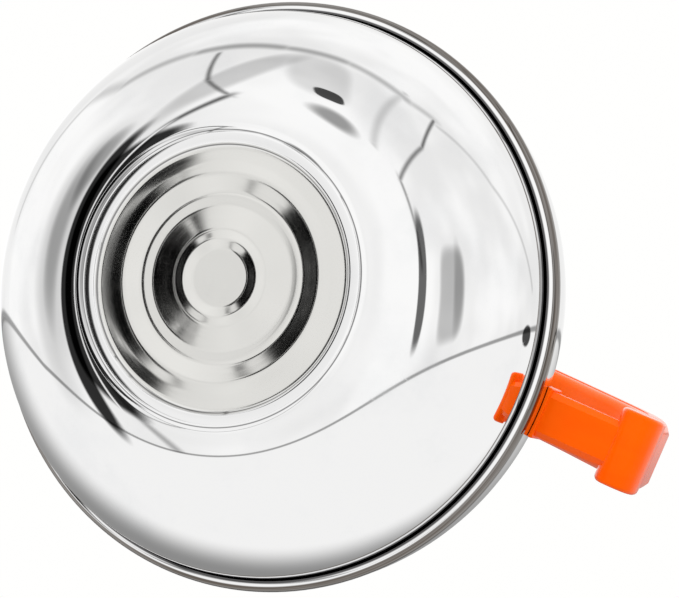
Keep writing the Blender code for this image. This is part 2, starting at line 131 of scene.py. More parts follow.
def selectEdges(piece, wanted):
    # leaves the piece in edit mode, with the edges selected whose two ends are as wanted
    selectOnly(piece)
    bpy.ops.object.mode_set(mode="EDIT")
    bpy.ops.mesh.select_mode(type="EDGE")
    bpy.ops.mesh.select_all(action="DESELECT")
    bpy.ops.object.mode_set(mode="OBJECT")
    corners = piece.data.vertices
    for edge in piece.data.edges:
        first, second = edge.vertices
        edge.select = wanted(corners[first].co, corners[second].co)
    bpy.ops.object.mode_set(mode="EDIT")


def closeUp():
    bpy.ops.mesh.select_all(action="SELECT")
    bpy.ops.mesh.remove_doubles(threshold=0.000004)
    bpy.ops.mesh.select_all(action="SELECT")
    bpy.ops.mesh.normals_make_consistent(inside=False)
    bpy.ops.object.mode_set(mode="OBJECT")


def spinPiece(name, profile, steps=96, ring=False):
    # turns a profile of (radius, height) about the upright axis
    places = [(radius, 0, height) for radius, height in profile]
    if ring:
        places.append(places[0])
    piece = drawLine(name, places)
    bpy.ops.mesh.select_all(action="SELECT")
    bpy.ops.mesh.spin(steps=steps, angle=fullTurn, center=(0, 0, 0), axis=(0, 0, 1))
    closeUp()
    return piece


def slabPiece(name, outline, halfWidth, roundEdge=0.0, rings=4):
    # an outline of (x, z) drawn out to both sides, with its two rims rounded
    places = [(x, -halfWidth, z) for x, z in outline]
    piece = drawLine(name, places)
    bpy.ops.mesh.select_all(action="SELECT")
    bpy.ops.mesh.edge_face_add()
    bpy.ops.mesh.extrude_region_move(TRANSFORM_OT_translate={"value": (0, 2 * halfWidth, 0)})
    closeUp()
    if roundEdge:
        selectEdges(piece, lambda first, second: abs(first.y - second.y) < 0.01 * mm)
        bpy.ops.mesh.bevel(offset=roundEdge, segments=rings, profile=0.5, affect="EDGES")
        bpy.ops.object.mode_set(mode="OBJECT")
    return piece


def blockPiece(name, low, high, roundEdge=0.0, rings=3):
    clearSelection()
    low, high = Vector(low), Vector(high)
    bpy.ops.mesh.primitive_cube_add(size=1, location=(low + high) / 2)
    piece = bpy.context.object
    piece.name = name
    piece.data.name = name
    piece.scale = high - low
    bpy.ops.object.transform_apply(location=True, rotation=True, scale=True)
    if roundEdge:
        bpy.ops.object.mode_set(mode="EDIT")
        bpy.ops.mesh.select_all(action="SELECT")
        bpy.ops.mesh.bevel(offset=roundEdge, segments=rings, profile=0.5, affect="EDGES")
        bpy.ops.object.mode_set(mode="OBJECT")
    return piece


def rodPiece(name, start, end, profile, steps=40):
    # a turned piece whose axis runs from start towards end
    piece = spinPiece(name, profile, steps)
    piece.rotation_euler = (Vector(end) - Vector(start)).to_track_quat("Z", "Y").to_euler()
    piece.location = start
    selectOnly(piece)
    bpy.ops.object.transform_apply(location=True, rotation=True, scale=True)
    return piece


def joinOrCut(target, helper, operation, solver="EXACT"):
    step = target.modifiers.new(operation.lower(), "BOOLEAN")
    step.operation = operation
    step.solver = solver
    step.object = helper
    selectOnly(target)
    bpy.ops.object.modifier_apply(modifier=step.name)
    bpy.data.objects.remove(helper)


def finishPiece(piece, body, material, standsFor=(), smoothUpTo=34):
    selectOnly(piece)
    bpy.ops.object.transform_apply(location=True, rotation=True, scale=True)
    bpy.ops.object.shade_smooth_by_angle(angle=math.radians(smoothUpTo))
    piece.data.materials.clear()
    piece.data.materials.append(material)
    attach(piece, body)
    if standsFor:
        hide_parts(*standsFor)
    piece.select_set(False)
    return piece


# short ways to add nodes


def splitVector(tree, vector):
    node = tree.nodes.new("ShaderNodeSeparateXYZ")
    tree.links.new(vector, node.inputs[0])
    return node.outputs


def maths(tree, operation, *values):
    node = tree.nodes.new("ShaderNodeMath")
    node.operation = operation
    for index, value in enumerate(values):
        if isinstance(value, bpy.types.NodeSocket):
            tree.links.new(value, node.inputs[index])
        else:
            node.inputs[index].default_value = value
    return node.outputs[0]


def noise(tree, vector, scale, detail=3.0, roughness=0.55):
    node = tree.nodes.new("ShaderNodeTexNoise")
    tree.links.new(vector, node.inputs["Vector"])
    node.inputs["Scale"].default_value = scale
    node.inputs["Detail"].default_value = detail
    node.inputs["Roughness"].default_value = roughness
    return node.outputs[0]


def stretched(tree, vector, scale):
    node = tree.nodes.new("ShaderNodeMapping")
    tree.links.new(vector, node.inputs["Vector"])
    node.inputs["Scale"].default_value = scale
    return node.outputs[0]


def remap(tree, value, fromLow, fromHigh, toLow, toHigh, kind="SMOOTHSTEP"):
    node = tree.nodes.new("ShaderNodeMapRange")
    node.interpolation_type = kind
    tree.links.new(value, node.inputs[0])
    for index, number in enumerate((fromLow, fromHigh, toLow, toHigh)):
        if isinstance(number, bpy.types.NodeSocket):
            tree.links.new(number, node.inputs[index + 1])
        else:
            node.inputs[index + 1].default_value = number
    return node.outputs[0]


def mixColours(tree, share, first, second):
    node = tree.nodes.new("ShaderNodeMix")
    node.data_type = "RGBA"
    tree.links.new(share, node.inputs["Factor"])
    colourSockets = [socket for socket in node.inputs if socket.type == "RGBA"]
    for socket, colour in zip(colourSockets, (first, second)):
        if isinstance(colour, bpy.types.NodeSocket):
            tree.links.new(colour, socket)
        else:
            socket.default_value = colour
    return next(socket for socket in node.outputs if socket.type == "RGBA")


def newGroup(name, inputs, outputs):
    group = bpy.data.node_groups.new(name, "ShaderNodeTree")
    for socketName, kind, value in inputs:
        socket = group.interface.new_socket(socketName, in_out="INPUT", socket_type=kind)
        if value is not None:
            socket.default_value = value
    for socketName, kind in outputs:
        group.interface.new_socket(socketName, in_out="OUTPUT", socket_type=kind)
    return group, group.nodes.new("NodeGroupInput"), group.nodes.new("NodeGroupOutput")


def useGroup(tree, group, **inputs):
    node = tree.nodes.new("ShaderNodeGroup")
    node.node_tree = group
    for name, value in inputs.items():
        if isinstance(value, bpy.types.NodeSocket):
            tree.links.new(value, node.inputs[name])
        else:
            node.inputs[name].default_value = value
    return node


# surface effects that several materials share


def makeTurningLines():
    # fine rings left by polishing the sheet on a lathe, about the kettle's upright axis
    group, inside, outside = newGroup(
        "turningLines",
        [("Vector", "NodeSocketVector", None), ("Spacing", "NodeSocketFloat", 1.0)],
        [("Lines", "NodeSocketFloat"), ("Radius", "NodeSocketFloat")],
    )
    x, y, z = splitVector(group, inside.outputs["Vector"])
    squares = maths(group, "ADD", maths(group, "MULTIPLY", x, x), maths(group, "MULTIPLY", y, y))
    across = maths(group, "SQRT", squares)
    flat = group.nodes.new("ShaderNodeCombineXYZ")
    group.links.new(maths(group, "MULTIPLY", across, inside.outputs["Spacing"]), flat.inputs[0])
    group.links.new(maths(group, "MULTIPLY", z, inside.outputs["Spacing"]), flat.inputs[1])
    group.links.new(maths(group, "ARCTAN2", y, x), flat.inputs[2])
    group.links.new(noise(group, flat.outputs[0], 1.0, 4.0, 0.7), outside.inputs["Lines"])
    group.links.new(across, outside.inputs["Radius"])
    return group


def makeHandling():
    # cloudy finger marks, and hairline scratches in two directions
    group, inside, outside = newGroup(
        "handlingMarks",
        [("Vector", "NodeSocketVector", None)],
        [("Smudges", "NodeSocketFloat"), ("Scratches", "NodeSocketFloat")],
    )
    place = inside.outputs["Vector"]
    cloud = noise(group, place, 34.0, 4.0, 0.6)
    group.links.new(remap(group, cloud, 0.46, 0.72, 0.0, 1.0), outside.inputs["Smudges"])
    oneWay = noise(group, stretched(group, place, (40.0, 900.0, 420.0)), 1.0, 2.0)
    otherWay = noise(group, stretched(group, place, (700.0, 50.0, 120.0)), 1.0, 2.0)
    first = remap(group, oneWay, 0.70, 0.78, 0.0, 1.0)
    second = remap(group, otherWay, 0.71, 0.79, 0.0, 1.0)
    group.links.new(maths(group, "MAXIMUM", first, second), outside.inputs["Scratches"])
    return group


def makeMouldSkin():
    # the faint ripple and grain of injection-moulded plastic
    group, inside, outside = newGroup(
        "mouldSkin",
        [("Vector", "NodeSocketVector", None)],
        [("Ripple", "NodeSocketFloat"), ("Grain", "NodeSocketFloat"), ("Flow", "NodeSocketFloat")],
    )
    place = inside.outputs["Vector"]
    group.links.new(noise(group, place, 260.0, 2.0), outside.inputs["Ripple"])
    group.links.new(noise(group, place, 2600.0, 2.0), outside.inputs["Grain"])
    flow = noise(group, stretched(group, place, (1.0, 3.0, 1.0)), 22.0, 3.0)
    group.links.new(remap(group, flow, 0.3, 0.7, 0.0, 1.0), outside.inputs["Flow"])
    return group


turningLines = makeTurningLines()
handlingMarks = makeHandling()
mouldSkin = makeMouldSkin()


def newMaterial(name):
    material = bpy.data.materials.new(name)
    material.use_nodes = True
    tree = material.node_tree
    shader = tree.nodes["Principled BSDF"]
    place = tree.nodes.new("ShaderNodeTexCoord").outputs["Object"]
    return material, tree, shader, place


def addBump(tree, shader, height, strength, distance):
    bump = tree.nodes.new("ShaderNodeBump")
    bump.inputs["Strength"].default_value = strength
    bump.inputs["Distance"].default_value = distance
    tree.links.new(height, bump.inputs["Height"])
    tree.links.new(bump.outputs[0], shader.inputs["Normal"])


mirrorSteelLook = {
    "bright": (0.83, 0.83, 0.835, 1),
    "dull": (0.77, 0.775, 0.785, 1),
    "roughness": (0.018, 0.06),  # clean and smudged
    "stampedRoughness": 0.075,  # added inside the base ring, which is only buffed
    "stampedRadius": 49 * mm,
    "stamped": (0.70, 0.695, 0.675, 1),
    "seam": (0.105, 0.088, 0.074, 1),  # a brownish band along the underside of the rolled hem
    "seamStart": 110.9,
    "seamTop": 55.2,
    "creaseShade": (0.10, 0.098, 0.10, 1),  # painted shade: darkens the groove under the hem and the sharp creases of the base
    "shadedCreases": ((53.95, 0.35), (48.6, 0.35)),  # radius and half width of each painted dark line
    "grooveShadeHeights": (48.5, 48.9, 51.5, 52.5),  # where the painted shade in the groove under the hem fades in and out
    "grooveShadeRadii": (107.7, 108.0, 109.4, 109.9),
}


def fadeBetween(tree, value, stops):
    # rises from the first stop to the second and falls again from the third to the fourth
    start, full, end, gone = [stop * mm for stop in stops]
    return maths(
        tree, "MULTIPLY", remap(tree, value, start, full, 0.0, 1.0), remap(tree, value, end, gone, 1.0, 0.0)
    )


def makeMirrorSteel():
    look = mirrorSteelLook
    material, tree, shader, place = newMaterial("mirrorSteel")
    lines = useGroup(tree, turningLines, Vector=place, Spacing=900.0)
    marks = useGroup(tree, handlingMarks, Vector=place)
    clean, smudged = look["roughness"]
    rough = remap(tree, marks.outputs["Smudges"], 0.0, 1.0, clean, smudged, "LINEAR")
    ring = look["stampedRadius"]
    radius, z = lines.outputs["Radius"], splitVector(tree, place)[2]
    inRing = remap(tree, radius, ring, ring - 1.5 * mm, 0.0, 1.0)
    low = remap(tree, z, 6 * mm, 4 * mm, 0.0, 1.0)
    stamped = maths(tree, "MULTIPLY", inRing, low)
    grained = maths(tree, "MULTIPLY", stamped, remap(tree, lines.outputs["Lines"], 0.3, 0.7, 0.5, 1.0))
    extra = maths(tree, "MULTIPLY", grained, look["stampedRoughness"])
    scratched = maths(tree, "MULTIPLY", marks.outputs["Scratches"], 0.05)
    total = maths(tree, "ADD", maths(tree, "ADD", rough, extra), scratched)
    tree.links.new(total, shader.inputs["Roughness"])
    tone = maths(tree, "MULTIPLY", marks.outputs["Smudges"], 0.6)
    tone = maths(tree, "ADD", tone, maths(tree, "MULTIPLY", stamped, 0.35))
    steel = mixColours(tree, tone, look["bright"], look["dull"])
    steel = mixColours(tree, stamped, steel, look["stamped"])
    # a brownish band along the hem's underside, broken up by the turning lines
    start, top = look["seamStart"] * mm, look["seamTop"] * mm
    band = remap(tree, radius, start - 0.2 * mm, start + 0.2 * mm, 0.0, 1.0)
    band = maths(tree, "MULTIPLY", band, remap(tree, z, top, top + 0.4 * mm, 1.0, 0.0))
    patchy = remap(tree, lines.outputs["Lines"], 0.3, 0.7, 0.75, 1.0)
    steel = mixColours(tree, maths(tree, "MULTIPLY", band, patchy), steel, look["seam"])
    # painted shade: the groove under the hem and the base's sharp creases are darkened with the crease
    # colour
    inHeight = fadeBetween(tree, z, look["grooveShadeHeights"])
    paintedShade = maths(tree, "MULTIPLY", inHeight, fadeBetween(tree, radius, look["grooveShadeRadii"]))
    for middle, reach in look["shadedCreases"]:
        off = maths(tree, "ABSOLUTE", maths(tree, "SUBTRACT", radius, middle * mm))
        line = remap(tree, off, 0.2 * reach * mm, reach * mm, 0.8, 0.0)
        line = maths(tree, "MULTIPLY", line, remap(tree, z, 3 * mm, 2 * mm, 0.0, 1.0))
        paintedShade = maths(tree, "MAXIMUM", paintedShade, line)
    steel = mixColours(tree, paintedShade, steel, look["creaseShade"])
    tree.links.new(steel, shader.inputs["Base Color"])
    shader.inputs["Metallic"].default_value = 1.0
    addBump(tree, shader, lines.outputs["Lines"], 0.012, 0.02 * mm)
    return material


satinSteelLook = {
    "bright": (0.66, 0.66, 0.67, 1),
    "dull": (0.5, 0.5, 0.515, 1),
    "roughness": (0.2, 0.38),
}


def makeSatinSteel():
    look = satinSteelLook
    material, tree, shader, place = newMaterial("satinSteel")
    marks = useGroup(tree, handlingMarks, Vector=place)
    grain = noise(tree, stretched(tree, place, (2600.0, 2600.0, 90.0)), 1.0, 3.0)
    tree.links.new(mixColours(tree, grain, look["bright"], look["dull"]), shader.inputs["Base Color"])
    rough = remap(tree, grain, 0.3, 0.7, *look["roughness"])
    rough = maths(tree, "ADD", rough, maths(tree, "MULTIPLY", marks.outputs["Smudges"], 0.06))
    tree.links.new(rough, shader.inputs["Roughness"])
    shader.inputs["Metallic"].default_value = 1.0
    addBump(tree, shader, grain, 0.12, 0.03 * mm)
    return material


orangePlasticLook = {
    "colour": (1.0, 0.115, 0.0005, 1),
    "deep": (1.0, 0.080, 0.0003, 1),
    "roughness": (0.13, 0.24),  # clean and smudged
    "shine": 0.30,
    "shineColour": (1.0, 0.42, 0.10, 1),
}


def makeOrangePlastic():
    look = orangePlasticLook
    material, tree, shader, place = newMaterial("orangePlastic")
    skin = useGroup(tree, mouldSkin, Vector=place)
    marks = useGroup(tree, handlingMarks, Vector=place)
    share = maths(tree, "MULTIPLY", skin.outputs["Flow"], 0.55)
    tree.links.new(mixColours(tree, share, look["colour"], look["deep"]), shader.inputs["Base Color"])
    rough = remap(tree, marks.outputs["Smudges"], 0.0, 1.0, *look["roughness"])
    rough = maths(tree, "ADD", rough, maths(tree, "MULTIPLY", marks.outputs["Scratches"], 0.12))
    tree.links.new(rough, shader.inputs["Roughness"])
    shader.inputs["IOR"].default_value = 1.5
    shader.inputs["Specular IOR Level"].default_value = look["shine"]
    shader.inputs["Specular Tint"].default_value = look["shineColour"]
    height = maths(tree, "ADD", skin.outputs["Ripple"], maths(tree, "MULTIPLY", skin.outputs["Grain"], 0.12))
    addBump(tree, shader, height, 0.10, 0.12 * mm)
    return material


greySiliconeLook = {"pale": (0.36, 0.36, 0.37, 1), "dark": (0.28, 0.28, 0.29, 1), "roughness": (0.45, 0.6)}


def makeGreySilicone():
    look = greySiliconeLook
    material, tree, shader, place = newMaterial("greySilicone")
    skin = useGroup(tree, mouldSkin, Vector=place)
    colour = mixColours(tree, skin.outputs["Flow"], look["pale"], look["dark"])
    tree.links.new(colour, shader.inputs["Base Color"])
    rough = remap(tree, skin.outputs["Grain"], 0.3, 0.7, *look["roughness"])
    tree.links.new(rough, shader.inputs["Roughness"])
    addBump(tree, shader, skin.outputs["Grain"], 0.2, 0.05 * mm)
    return material


mirrorSteel = makeMirrorSteel()
satinSteel = makeSatinSteel()
orangePlastic = makeOrangePlastic()
greySilicone = makeGreySilicone()
print("materials made")


bowl = {
    "sheet": 0.8,
    "baseRipples": (  # radius and height of each crease of the stamped base, from the disc to the foot ring
        (10.6, 1.40), (14.0, 0.78), (14.5, 0.78), (17.4, 1.25), (18.1, 1.25), (26.8, 2.30), (29.6, 2.16),
        (30.4, 2.16), (31.0, 2.25), (31.7, 2.22), (37.6, 1.02), (38.8, 1.04), (42.5, 1.50), (47.4, 1.90),
        (48.5, 1.64), (49.3, 0.1),
    ),
    "footRing": ((50.2, 0.0), (53.2, 0.0), (54.1, 0.6)),
    "wallRadius": 108.2,
    "flange": (111.4, 51.0),
    "flankPoints": 30,
    "flankEnd": 87,  # degrees, a little short of upright
    "steps": 192,
}


def bowlOutside():
    footR, footZ = bowl["footRing"][-1]
    flangeR, flangeZ = bowl["flange"]
    wallR = bowl["wallRadius"]
    stamped = [(0, bowl["baseRipples"][0][1]), *bowl["baseRipples"], *bowl["footRing"][:2]]
    flank = []
    for step in range(1, bowl["flankPoints"] + 1):
        angle = math.radians(bowl["flankEnd"]) * step / bowl["flankPoints"]
        radius = footR + (wallR - footR) * math.sin(angle)
        flank.append((radius, footZ + (flangeZ - footZ) * (1 - math.cos(angle))))
    base = easeLine([*stamped, (footR, footZ)], 0.7, 4)
    corners = [flank[-1], (wallR + 0.2, flangeZ - 0.6), (wallR + 1.0, flangeZ), (flangeR, flangeZ)]
    lip = easeLine(corners, 0.5)
    return base + flank[:-1] + lip


def makeBowl():
    outside = bowlOutside()
    inside = shiftLine(outside[::2] + [outside[-1]], bowl["sheet"])
    inside[0] = (0, inside[0][1])
    profile = inMetres(inside + outside[::-1])
    piece = spinPiece("bowl", profile, bowl["steps"])
    finishPiece(piece, "kettle", mirrorSteel, ["lower_bowl"], 50)


makeBowl()
print("bowl made")


dome = {
    "sheet": 0.8,
    "radius": 112.1,
    "start": 58.0,  # height where it starts to curve in
    "height": 66.0,
    "power": 2.2,
    "mouthRadius": 44.8,
    "neckDepth": 7.0,
    "hem": (  # rolled round the bowl's flange
        (112.1, 55.6), (112.3, 54.6), (112.95, 53.6), (113.0, 51.6),
        (112.5, 50.2), (111.2, 49.3), (108.9, 49.0),
    ),
    "steps": 192,
}


def domePoint(angle, extra=0.0):
    power = 2 / dome["power"]
    radius = (dome["radius"] + extra) * math.cos(angle) ** power
    return (radius, dome["start"] + (dome["height"] + extra) * math.sin(angle) ** power)


def domeHeight(radius):
    power = dome["power"]
    return dome["start"] + dome["height"] * (1 - (radius / dome["radius"]) ** power) ** (1 / power)


def domeOutside():
    mouthR = dome["mouthRadius"]
    mouthZ = domeHeight(mouthR + 2)
    neck = [(mouthR, mouthZ - dome["neckDepth"]), (mouthR, mouthZ - 1.0), (mouthR + 0.6, mouthZ - 0.1)]
    neck.append((mouthR + 2.4, mouthZ))
    top = math.acos(((mouthR + 7) / dome["radius"]) ** (dome["power"] / 2))
    curve = [domePoint(top * (1 - step / 40)) for step in range(41)]
    return easeLine(neck, 0.8) + curve + easeLine(dome["hem"], 0.9)


def makeDome():
    outside = domeOutside()
    inside = shiftLine(outside, -dome["sheet"])
    piece = spinPiece("dome", inMetres(outside + inside[::-1]), dome["steps"], ring=True)
    start, end = spout["holeReach"]
    radius = spout["holeRadius"]
    drill = inMetres([(0, 0), (radius, 0), (radius, end - start), (0, end - start)])
    hole = rodPiece("spoutHole", spoutPoint(0, start), spoutPoint(0, end), drill)
    joinOrCut(piece, hole, "DIFFERENCE")
    finishPiece(piece, "kettle", mirrorSteel, ["upper_dome"], 50)


def domeKeepout(gap=0.25):
    # the room that the dome takes up, cut out of what stands on it
    curve = [domePoint(math.pi / 2 * (1 - step / 48), gap) for step in range(49)]
    widest = curve[-1][0]
    return spinPiece("keepout", inMetres(curve + [(widest, 40), (0, 40)]), 160)


spout = {
    "foot": Vector((95, 0, 96.4)),
    "tilt": math.radians(42),
    "length": 60.6,
    "sheet": 0.8,
    "tipRadius": 15.9,
    "flare": 8.5,
    "bead": ((14.9, 0.1), (15.8, 0.3), (17.0, -0.2), (17.35, -1.4), (16.8, -2.6), (16.0, -3.4)),
    "buried": 27,  # how far it runs on under the dome before it is cut off
    "holeRadius": 16.5,
    "holeReach": (-24, 14),
}


def spoutTurn():
    return Matrix.Rotation(spout["tilt"], 3, "Y")


def spoutPoint(across, along, side=0.0):
    return (spout["foot"] + spoutTurn() @ Vector((across, side, along))) * mm


def tipPoint(across, side, along):
    return spoutPoint(across, spout["length"] + along, side)


def onSpout(piece):
    # moves a piece that was made about the world's upright axis, with the spout's tip at height 0
    piece.rotation_euler = (0, spout["tilt"], 0)
    piece.location = spoutPoint(0, spout["length"])
    selectOnly(piece)
    bpy.ops.object.transform_apply(location=True, rotation=True, scale=True)
    return piece


def makeSpout():
    top = spout["bead"][-1][1]
    reach = -spout["buried"] - spout["length"]
    wall = []
    for step in range(25):
        share = step / 24
        wall.append((spout["tipRadius"] + spout["flare"] * share**1.5, top + (reach - top) * share))
    inside = [(radius - spout["sheet"], along) for radius, along in wall[::-1]]
    rim = easeLine(spout["bead"], 0.5)
    piece = onSpout(spinPiece("spoutTube", inMetres(rim + wall + inside), 96, ring=True))
    joinOrCut(piece, domeKeepout(), "DIFFERENCE")
    finishPiece(piece, "kettle", mirrorSteel, ["spout"], 50)


makeDome()
makeSpout()
print("dome and spout made")


lid = {
    "radius": 50.0,
    "top": 127.0,
    "drop": 7.0,
    "flatRadius": 14.0,
    "sheet": 0.8,
    "skirt": ((38.8, 121.0), (43.0, 119.8), (43.8, 119.0), (43.8, 112.0)),
    "knob": (
        (0, 19.6), (9, 19.2), (14, 17.6), (16.6, 14.6), (17, 12.4), (15.6, 10.4),
        (10.5, 8), (8.4, 5), (9, 2), (11.5, 0), (0, 0),
    ),
    "knobBase": 128.6,
}


def makeLid():
    flat, edge = lid["flatRadius"], lid["radius"]
    curve = []
    for step in range(25):
        share = step / 24
        curve.append((flat + (edge - flat) * share, lid["top"] - lid["drop"] * share**1.7))
    low = curve[-1][1]
    rim = easeLine([curve[-1], (edge + 0.6, low - 0.15), (edge + 0.7, low - 0.7)], 0.3)
    outside = [(0, lid["top"]), *curve[:-1], *rim]
    inside = shiftLine(outside, -lid["sheet"])
    inside[0] = (0, inside[0][1])
    shell = spinPiece("lidShell", inMetres(outside + inside[::-1]), 128)
    finishPiece(shell, "lid", mirrorSteel, ["lid_shell"], 50)
    line = easeLine(lid["skirt"], 0.6)
    back = shiftLine(line, -lid["sheet"])
    skirt = spinPiece("lidSkirt", inMetres(line + back[::-1]), 128, ring=True)
    finishPiece(skirt, "lid", mirrorSteel, ["lid_skirt"], 50)
    outline = [(radius, lid["knobBase"] + height) for radius, height in lid["knob"]]
    knob = spinPiece("lidKnob", inMetres(easeLine(outline, 2.2, 5)), 96)
    finishPiece(knob, "lid", orangePlastic, ["lid_knob"], 60)


makeLid()
print("lid made")


handle = {
    "halfWidth": 14.5,
    "halfThick": 8.25,
    "split": -2.0,
    "seam": 0.3,
    "route": (
        (-145.0, 84.0), (-143.6, 100.0), (-141.2, 114.0), (-134.0, 127.5), (-119.0, 139.8), (-97.0, 155.0),
        (-62.0, 169.5), (-22.0, 177.5), (14.0, 178.0), (42.0, 173.0), (60.0, 165.5),
    ),
    "stemHalfWidth": 8.9,
    "stemHeights": (63.5, 77.5),
    "rearLow": (
        (-136.9, 79.0), (-138.6, 71.0), (-140.0, 65.6), (-142.0, 62.8), (-147.0, 62.4), (-151.0, 63.4),
        (-153.9, 66.6), (-155.1, 71.0), (-154.6, 77.0),
    ),
    "stemReach": (-145, -100),
    "stemFoot": {"start": -113.4, "halfWidth": 10, "under": 0.7, "over": 0.8},
    "pivot": (-44.0, 1.5),  # the whistle's hinge, across and along from the spout's tip
    "noseRadius": 6.6,
    "frontOver": ((84, 168.5), (94, 174)),
    "frontUnder": ((97, 158), (86, 148), (62, 146)),
    "frontHalfWidth": 13,
    "leg": ((60, 150), (86, 150), (80.5, 134), (77, 119), (59, 119), (58, 134)),
    "legHalfWidth": 8.2,
    "slot": ((-60, -7.3, -9), (-34, 7.3, 20)),  # the gap that the whistle's lever swings in
}


def handleFrames():
    points = [Vector(point) for point in smoothLine(handle["route"], 10)]
    frames = []
    for index, point in enumerate(points):
        along = (points[min(index + 1, len(points) - 1)] - points[max(index - 1, 0)]).normalized()
        frames.append((point, along, Vector((-along.y, along.x))))
    return frames


def sweepPiece(name, section):
    # a section of (side, outward) corners carried along the handle's middle line
    frames = handleFrames()
    point, along, normal = frames[0]
    places = []
    for side, outward in section:
        spot = point + normal * outward
        places.append(Vector((spot.x, side, spot.y)) * mm)
    piece = drawLine(name, places)
    bpy.ops.mesh.select_all(action="SELECT")
    bpy.ops.mesh.edge_face_add()
    for (before, oldAlong, _), (after, newAlong, _) in zip(frames, frames[1:]):
        step = Vector((after.x - before.x, 0, after.y - before.y)) * mm
        bpy.ops.mesh.extrude_region_move(TRANSFORM_OT_translate={"value": step})
        turn = math.atan2(oldAlong.x * newAlong.y - oldAlong.y * newAlong.x, oldAlong.dot(newAlong))
        centre = Vector((after.x, 0, after.y)) * mm
        bpy.ops.transform.rotate(value=turn, orient_axis="Y", orient_type="GLOBAL", center_override=centre)
    closeUp()
    return piece


def mirrorSection(right):
    return right + [(-side, outward) for side, outward in right[::-1]]


def makeArch():
    half, thick = handle["halfWidth"], handle["halfThick"]
    gap = handle["seam"] / 2
    split = handle["split"]
    edge = split + gap
    top = [(half - 0.35, edge), (half, edge + 0.35), (half, 3.2), (half - 1.2, 6.2), (half - 4.6, thick)]
    shell = sweepPiece("archShell", mirrorSection(easeLine(top, 1.8, 3)))
    finishPiece(shell, "kettle", orangePlastic, ["handle_arch"], 40)
    low = [(half - 4.2, -thick), (half - 1.2, -6.2), (half - 0.5, -3.6), (half - 0.5, split - gap)]
    liner = sweepPiece("archLiner", mirrorSection(easeLine(low, 1.4, 3)))
    finishPiece(liner, "kettle", orangePlastic, ["handle_liner"], 40)


def rearOutline():
    point, along, normal = handleFrames()[0]
    top = point - along * handle["seam"]
    rear = top + normal * handle["halfThick"]
    front = top - normal * handle["halfThick"]
    return [tuple(front), *handle["rearLow"], tuple(rear)]


def makeRear():
    outline = easeLine(rearOutline(), 1.6, 3, closed=True)
    rear = slabPiece("handleRear", inMetres(outline), handle["halfWidth"] * mm, 1.8 * mm)
    low, high = handle["stemHeights"]
    start, end = handle["stemReach"]
    half = handle["stemHalfWidth"]
    stem = blockPiece("stem", Vector((start, -half, low)) * mm, Vector((end, half, high)) * mm, 2.2 * mm, 1)
    joinOrCut(rear, stem, "UNION")
    foot = handle["stemFoot"]
    corner = Vector((foot["start"], -foot["halfWidth"], low - foot["under"])) * mm
    opposite = Vector((end, foot["halfWidth"], high + foot["over"])) * mm
    joinOrCut(rear, blockPiece("stemFoot", corner, opposite, 0.6 * mm, 3), "UNION")
    joinOrCut(rear, domeKeepout(), "DIFFERENCE")
    finishPiece(rear, "kettle", orangePlastic, ["handle_rear"], 40)


def pivotPoint(side=0.0):
    across, along = handle["pivot"]
    return tipPoint(across, side, along)


def makeFront():
    point, along, normal = handleFrames()[-1]
    start = point + along * handle["seam"]
    low = start - normal * handle["halfThick"]
    top = start + normal * handle["halfThick"]
    pivot = pivotPoint() / mm
    nose = []
    for degrees in range(70, -71, -10):
        angle = math.radians(degrees)
        radius = handle["noseRadius"]
        nose.append((pivot.x + radius * math.cos(angle), pivot.z + radius * math.sin(angle)))
    corners = [tuple(top), *handle["frontOver"], *nose, *handle["frontUnder"], tuple(low)]
    outline = inMetres(easeLine(corners, 2.8, 3, closed=True))
    front = slabPiece("handleFront", outline, handle["frontHalfWidth"] * mm, 1.5 * mm, 4)
    leg = slabPiece("leg", inMetres(handle["leg"]), handle["legHalfWidth"] * mm, 1.6 * mm, 4)
    joinOrCut(front, leg, "UNION")
    corner, opposite = handle["slot"]
    slot = onSpout(blockPiece("slot", Vector(corner) * mm, Vector(opposite) * mm))
    joinOrCut(front, slot, "DIFFERENCE")
    finishPiece(front, "kettle", orangePlastic, ["handle_front"], 40)


makeArch()
makeRear()
makeFront()
print("handle made")



whistle = {  # each outline is radius and height over the spout's tip
    "ring": ((11, 5.6), (21.5, 5.6), (23, 4.2), (23, -2.2), (19.8, -2.2), (19.8, 3.3), (11, 3.3)),
    "blocks": (  # low and high corners of what is joined to the ring
        ("arm", (-38, -6, 0), (-21, 6, 5.2)),
        ("waist", (-58, -3.6, 0), (-36, 3.6, 4.4)),
        ("pad", (-86, -10, 0.6), (-57, 10, 5)),
    ),
    "blockEdge": 0.9,
    "boss": ((0, 0), (4.9, 0), (5.2, 0.3), (5.2, 7.7), (4.9, 8), (0, 8)),  # radius and place along the pin
    "cap": ((6, 3), (18.9, 3), (19.5, 2.4), (19.5, -3.2), (18.7, -3.2), (18.7, 2.2), (6, 2.2)),
    "cup": ((1.7, 9), (8.6, 9), (9.4, 8.2), (9.4, 3.3), (8.6, 3.3), (8.6, 8.2), (1.7, 8.2)),
}


def turnedOnTip(name, outline, ease, steps):
    return onSpout(spinPiece(name, inMetres(easeLine(outline, ease, 3, closed=True)), steps, ring=True))


def makeWhistle():
    lever = turnedOnTip("whistleLever", whistle["ring"], 0.7, 96)
    for name, low, high in whistle["blocks"]:
        part = onSpout(blockPiece(name, Vector(low) * mm, Vector(high) * mm, whistle["blockEdge"] * mm, 3))
        joinOrCut(lever, part, "UNION", "MANIFOLD")
    half = whistle["boss"][-1][1] / 2
    boss = rodPiece("boss", pivotPoint(-half), pivotPoint(half), inMetres(whistle["boss"]))
    joinOrCut(lever, boss, "UNION", "MANIFOLD")
    finishPiece(lever, "whistle", orangePlastic, ["whistle_lever"], 40)
    cap = turnedOnTip("whistleCap", whistle["cap"], 0.3, 96)
    finishPiece(cap, "whistle", mirrorSteel, ["whistle_cap"], 50)
    cup = turnedOnTip("whistleCup", whistle["cup"], 0.35, 64)
    finishPiece(cup, "whistle", satinSteel, ["whistle_cup"], 50)


makeWhistle()
print("whistle made")


